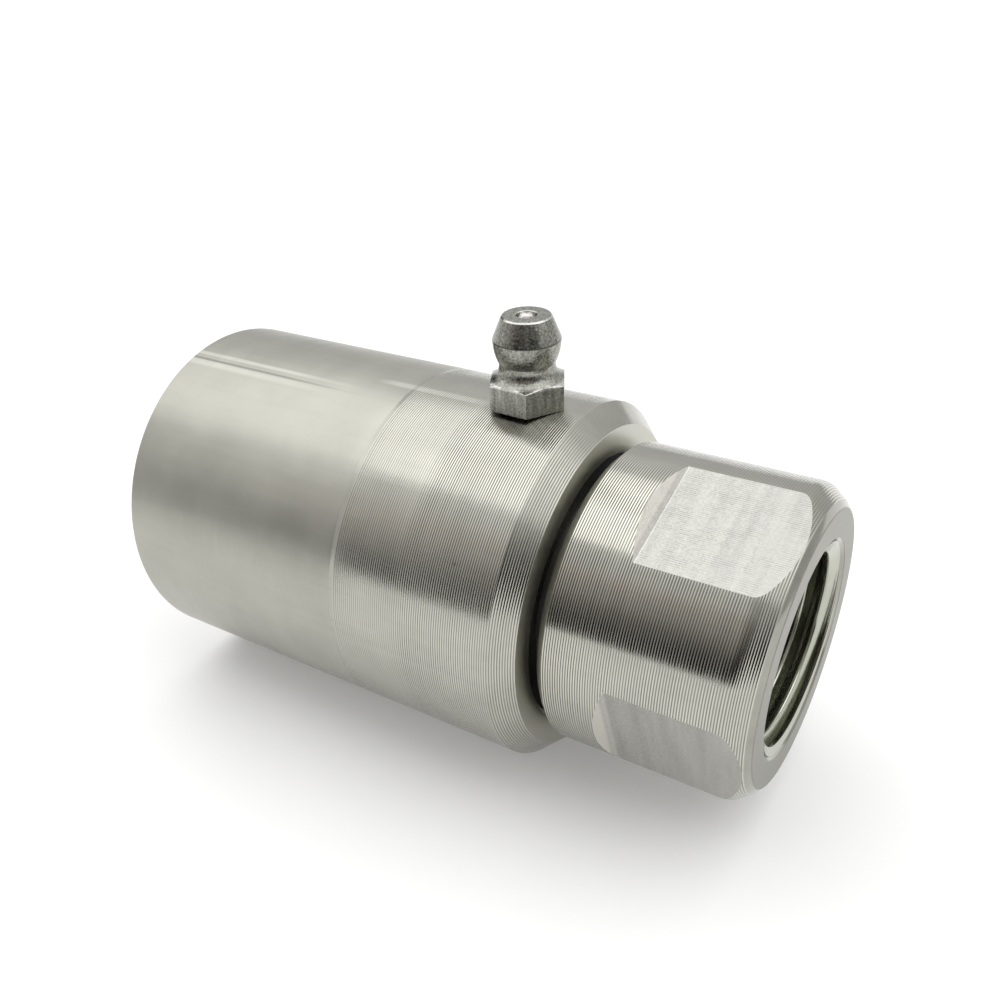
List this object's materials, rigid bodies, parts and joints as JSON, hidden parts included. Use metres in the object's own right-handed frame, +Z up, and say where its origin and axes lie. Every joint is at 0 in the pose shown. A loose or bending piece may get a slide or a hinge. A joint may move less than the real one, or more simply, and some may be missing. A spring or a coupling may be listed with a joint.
{
  "type": "hose reel swivel",
  "caption": "Inline hose reel swivel: a turned housing with a grease nipple, and a spindle head with wrench flats that turns freely in it, with a pipe thread port at each end.",
  "frame": {"origin": "centre of the rear port's face, on the spin axis", "axes": "+X along the spin axis from the rear port to the head port, +Z up through the grease nipple"},
  "size_m": [0.0713, 0.038, 0.0467],
  "materials": {
    "turned_stainless": "turned, with fine feed marks",
    "nipple_steel": "bright plated",
    "bearing_steel": "ground and polished",
    "spring_steel": "drawn wire and blued strip",
    "bronze": "machined",
    "seal_rubber": "moulded, matt",
    "seal_polyurethane": "moulded, satin",
    "backup_plastic": "turned",
    "cage_plastic": "moulded"
  },
  "bodies": {
    "housing_body": {"housing": "turned_stainless", "rear_bearing_outer_ring": "bearing_steel", "bearing_spacer_ring": "turned_stainless", "seal_retainer_washer": "bronze", "retainer_o_ring": "seal_rubber", "pressure_seal_cup": "seal_polyurethane", "pressure_seal_energiser": "seal_rubber", "seal_backup_ring": "backup_plastic", "dust_seal_case": "spring_steel", "dust_seal_lip": "seal_rubber", "dust_seal_garter_spring": "spring_steel", "grease_nipple_body": "nipple_steel", "nipple_spring": "spring_steel"},
    "spindle_body": {"spindle": "turned_stainless", "rear_bearing_inner_ring": "bearing_steel", "spindle_circlip": "spring_steel"},
    "bearing_ball_train": {"rear_bearing_balls": "bearing_steel", "rear_bearing_cage": "cage_plastic"},
    "lock_ball_train": {"lock_balls": "bearing_steel"},
    "nipple_valve": {"nipple_check_ball": "bearing_steel"}
  },
  "joints": [
    {"name": "spindle_spin", "type": "hinge", "parent": "housing_body", "child": "spindle_body", "pos_m": [0.0343, 0, 0], "axis": [1, 0, 0], "continuous": true},
    {"name": "bearing_balls_roll", "type": "hinge", "parent": "housing_body", "child": "bearing_ball_train", "pos_m": [0.0343, 0, 0], "axis": [1, 0, 0], "continuous": true},
    {"name": "lock_balls_roll", "type": "hinge", "parent": "housing_body", "child": "lock_ball_train", "pos_m": [0.0415, 0, 0], "axis": [1, 0, 0], "continuous": true},
    {"name": "nipple_valve_open", "type": "slide", "parent": "housing_body", "child": "nipple_valve", "axis": [0, 0, -1], "range_m": [0, 0.0008], "stiffness_N_per_m": 300, "springref_m": -0.0005, "deforming": ["nipple_spring"]}
  ],
  "couplings": [
    {"joint": "bearing_balls_roll", "follows": "spindle_spin", "ratio": 0.40767},
    {"joint": "lock_balls_roll", "follows": "spindle_spin", "ratio": 0.40475}
  ]
}
